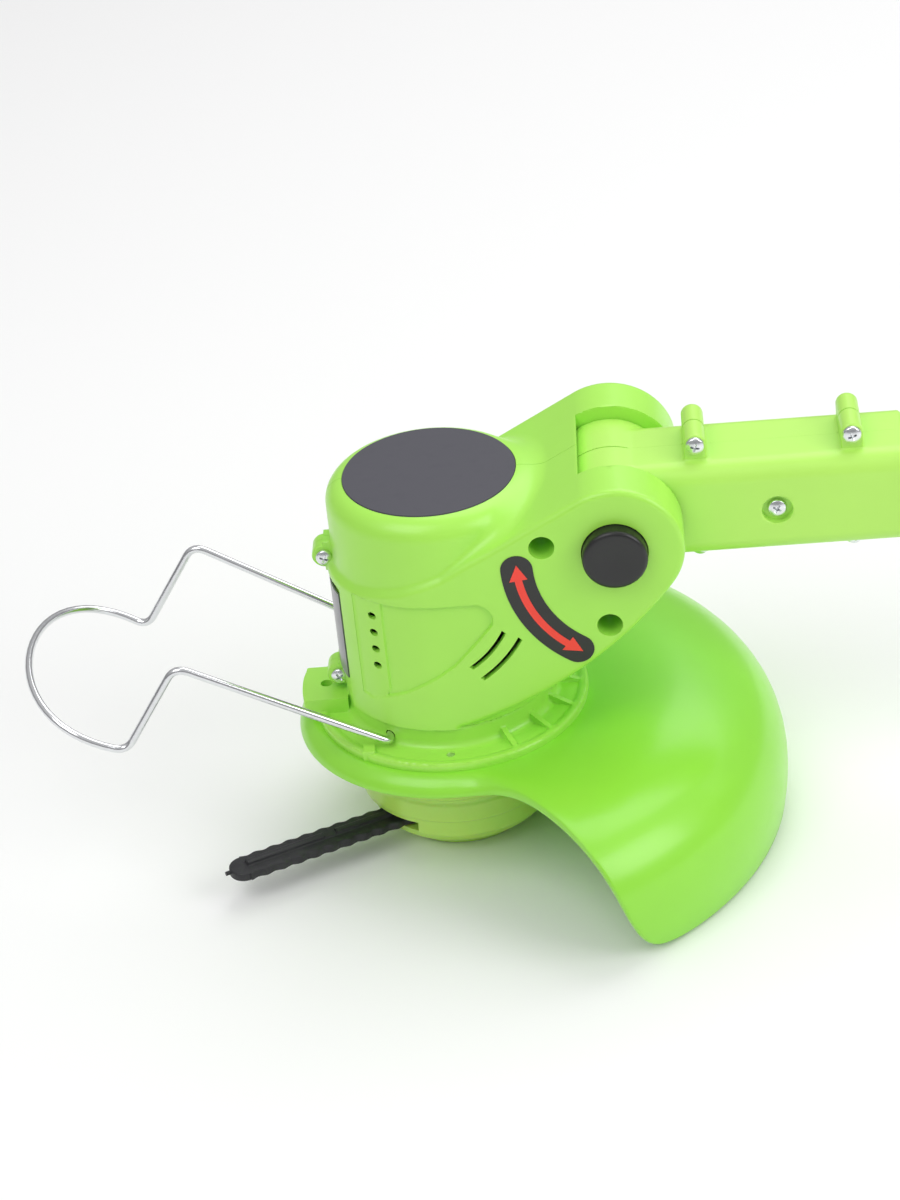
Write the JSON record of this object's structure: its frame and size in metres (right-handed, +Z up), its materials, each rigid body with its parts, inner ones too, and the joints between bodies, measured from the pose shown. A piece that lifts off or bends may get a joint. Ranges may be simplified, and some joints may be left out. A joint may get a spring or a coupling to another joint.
{
  "type": "string trimmer",
  "caption": "Cordless grass trimmer with a tilting cutter head, plastic blade on a disc, skirt guard, flip-down wire guard, telescopic pole, loop handle and battery.",
  "frame": {"origin": "where the motor axis meets the ground, at the bottom face of the cutter hub", "axes": "+X along the pole from the head to the handle, +Z up along the motor axis, so the side with the tilt button faces -Y"},
  "size_m": [1.0574, 0.1904, 0.272],
  "materials": {
    "head_green": "semi-gloss moulded ABS",
    "arm_green": "semi-gloss moulded ABS",
    "guard_green": "semi-gloss moulded polypropylene",
    "hub_green": "semi-gloss translucent nylon",
    "black_plastic": "fine moulded texture",
    "label_grey": "printed polyester label",
    "decal_black": "printed film",
    "print_red": "printed film",
    "blade_plastic": "moulded polyamide",
    "zinc": "bright zinc plate",
    "wire": "bright nickel-plated wire",
    "steel": "bright steel",
    "magnet": "sintered ferrite",
    "bronze": "sintered bronze",
    "copper": "enamelled winding and laminations",
    "aluminium": "drawn and clear anodised",
    "tube_paint": "black powder coat",
    "soft_grip": "soft overmould",
    "orange_plastic": "moulded plastic",
    "cell_wrap": "shrink wrap",
    "contact": "plated contact"
  },
  "bodies": {
    "head": {"head_shell_near": "head_green", "head_shell_far": "head_green", "top_label": "label_grey", "front_label": "label_grey", "tilt_decal": "decal_black", "tilt_arrow": "print_red", "head_screws": "zinc", "pivot_cap": "head_green", "collar": "head_green", "guard": "guard_green", "guard_screws": "zinc", "motor_can": "steel", "motor_magnets": "magnet", "motor_end_cap": "black_plastic", "shaft_bushes": "bronze", "motor_screws": "zinc", "button_spring": "steel"},
    "wire_guard": {"wire_guard": "wire"},
    "cutter": {"rotor": "copper", "motor_shaft": "steel", "hub": "hub_green", "hub_cover": "hub_green", "hub_nut": "zinc", "blade_pin": "steel"},
    "blade": {"blade": "blade_plastic"},
    "tilt_button": {"tilt_button": "black_plastic", "lock_ring": "steel"},
    "arm": {"arm_near": "arm_green", "arm_far": "arm_green", "arm_screws": "zinc", "inner_tube": "aluminium"},
    "pole": {"outer_tube": "tube_paint", "tube_collet": "black_plastic", "aux_clamp_top": "black_plastic", "aux_clamp_bottom": "black_plastic", "aux_bolt": "zinc", "handle_near": "head_green", "handle_far": "head_green", "handle_screws": "zinc", "grip_pad": "soft_grip", "trigger_pin": "steel", "trigger_spring": "steel", "power_switch": "black_plastic", "lock_off_spring": "steel", "dock_contacts": "contact"},
    "lock_sleeve": {"lock_sleeve": "black_plastic"},
    "aux_handle": {"aux_handle": "arm_green"},
    "aux_knob": {"aux_knob": "black_plastic"},
    "trigger": {"trigger": "orange_plastic"},
    "lock_off": {"lock_off_button": "orange_plastic"},
    "battery": {"battery_top": "black_plastic", "battery_bottom": "arm_green", "battery_cells": "cell_wrap", "battery_terminals": "contact", "latch_spring": "steel"},
    "battery_latch": {"battery_latch": "orange_plastic"}
  },
  "joints": [
    {"name": "head_tilt", "type": "hinge", "parent": "head", "child": "arm", "pos_m": [0.0578, 0, 0.117], "axis": [0, -1, 0], "range_deg": [0, 55]},
    {"name": "tilt_release", "type": "slide", "parent": "head", "child": "tilt_button", "axis": [0, 1, 0], "range_m": [0, 0.004], "stiffness_N_per_m": 600, "springref_m": -0.003, "deforming": ["button_spring"]},
    {"name": "cutter_spin", "type": "hinge", "parent": "head", "child": "cutter", "pos_m": [0, 0, 0.02], "axis": [0, 0, 1], "continuous": true},
    {"name": "blade_swing", "type": "hinge", "parent": "cutter", "child": "blade", "pos_m": [-0.0075, -0.0134, 0.011], "axis": [0, 0, 1], "range_deg": [-50, 12]},
    {"name": "wire_fold", "type": "hinge", "parent": "head", "child": "wire_guard", "pos_m": [-0.0196, 0, 0.0493], "axis": [0, 1, 0], "range_deg": [0, 65]},
    {"name": "pole_extend", "type": "slide", "parent": "arm", "child": "pole", "axis": [1, 0, 0], "range_m": [0, 0.2]},
    {"name": "sleeve_twist", "type": "hinge", "parent": "pole", "child": "lock_sleeve", "pos_m": [0.33, 0, 0.117], "axis": [1, 0, 0], "range_deg": [0, 90]},
    {"name": "aux_handle_tilt", "type": "hinge", "parent": "pole", "child": "aux_handle", "pos_m": [0.47, 0, 0.143], "axis": [0, 1, 0], "range_deg": [-50, 40]},
    {"name": "aux_knob_turn", "type": "hinge", "parent": "pole", "child": "aux_knob", "pos_m": [0.47, 0.02, 0.143], "axis": [0, 1, 0], "range_deg": [0, 270]},
    {"name": "trigger_pull", "type": "hinge", "parent": "pole", "child": "trigger", "pos_m": [0.744, 0, 0.128], "axis": [0, -1, 0], "range_deg": [0, 7], "stiffness_Nm_per_rad": 0.5, "springref_deg": -17.19, "deforming": ["trigger_spring"]},
    {"name": "lock_off_press", "type": "slide", "parent": "pole", "child": "lock_off", "axis": [0, 0, -1], "range_m": [0, 0.004], "stiffness_N_per_m": 400, "springref_m": -0.003, "deforming": ["lock_off_spring"]},
    {"name": "battery_slide", "type": "slide", "parent": "pole", "child": "battery", "axis": [1, 0, 0], "range_m": [0, 0.08]},
    {"name": "latch_press", "type": "slide", "parent": "battery", "child": "battery_latch", "axis": [0, 0, -1], "range_m": [0, 0.004], "stiffness_N_per_m": 400, "springref_m": -0.003, "deforming": ["latch_spring"]}
  ]
}
